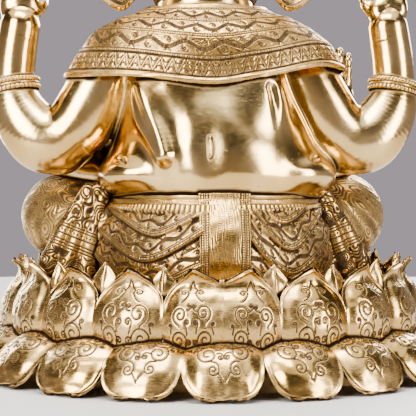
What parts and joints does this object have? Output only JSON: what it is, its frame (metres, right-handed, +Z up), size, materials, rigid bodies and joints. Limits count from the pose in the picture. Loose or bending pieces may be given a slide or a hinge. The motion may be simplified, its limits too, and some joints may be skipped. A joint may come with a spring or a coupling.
{
  "type": "devotional figurine",
  "caption": "Brass idol of an elephant-headed seated deity with several arms, on a double lotus base with engraved petals.",
  "frame": {"origin": "middle of the lotus base on the surface it stands on", "axes": "+Z up; the idol faces -Y, so its left side is +X and the side with the casting seam is +Y"},
  "size_m": [0.4226, 0.4226, 0.51],
  "materials": {
    "polished_brass": "polished, with brown left in the creases",
    "engraved_brass": "polished high spots over a brown antiqued ground",
    "petal_brass": "brushed and polished, with dark engraved lines",
    "ornament_brass": "polished over antiqued lines",
    "dark_brass": "dark antiqued, combed lines",
    "base_brass": "as cast, antiqued brown",
    "fixing_steel": "plain zinc-grey steel"
  },
  "bodies": {
    "root": {"anklets": "ornament_brass", "axe": "ornament_brass", "base_drum": "base_brass", "crown_band": "ornament_brass", "crown_body": "ornament_brass", "crown_finial": "ornament_brass", "dhoti_drape_left": "engraved_brass", "dhoti_drape_right": "engraved_brass", "fixing_nut": "fixing_steel", "fixing_stud": "fixing_steel", "fixing_washer": "fixing_steel", "front_left_bangles": "ornament_brass", "front_left_forearm": "polished_brass", "front_left_hand": "polished_brass", "front_left_upper_arm": "polished_brass", "front_right_bangles": "ornament_brass", "front_right_forearm": "polished_brass", "front_right_hand": "polished_brass", "front_right_upper_arm": "polished_brass", "hair": "dark_brass", "head": "polished_brass", "hips": "engraved_brass", "inner_petals": "petal_brass", "left_ear": "polished_brass", "left_foot": "polished_brass", "left_knee_drape": "engraved_brass", "left_shin": "engraved_brass", "left_thigh": "engraved_brass", "left_tusk": "polished_brass", "lower_petals": "petal_brass", "neck": "polished_brass", "necklace": "ornament_brass", "noose": "ornament_brass", "rear_left_bangles": "ornament_brass", "rear_left_forearm": "polished_brass", "rear_left_hand": "polished_brass", "rear_left_upper_arm": "polished_brass", "rear_right_bangles": "ornament_brass", "rear_right_forearm": "polished_brass", "rear_right_hand": "polished_brass", "rear_right_upper_arm": "polished_brass", "rear_sash": "engraved_brass", "right_ear": "polished_brass", "right_foot": "polished_brass", "right_knee_drape": "engraved_brass", "right_shin": "engraved_brass", "right_thigh": "engraved_brass", "right_tusk": "polished_brass", "seat_plate": "base_brass", "shawl": "engraved_brass", "sweet_bowl": "ornament_brass", "sweets": "ornament_brass", "torso": "polished_brass", "trunk": "polished_brass", "trunk_sweet": "ornament_brass", "upper_petals_left": "petal_brass", "upper_petals_right": "petal_brass", "waistband": "engraved_brass"}
  },
  "joints": []
}
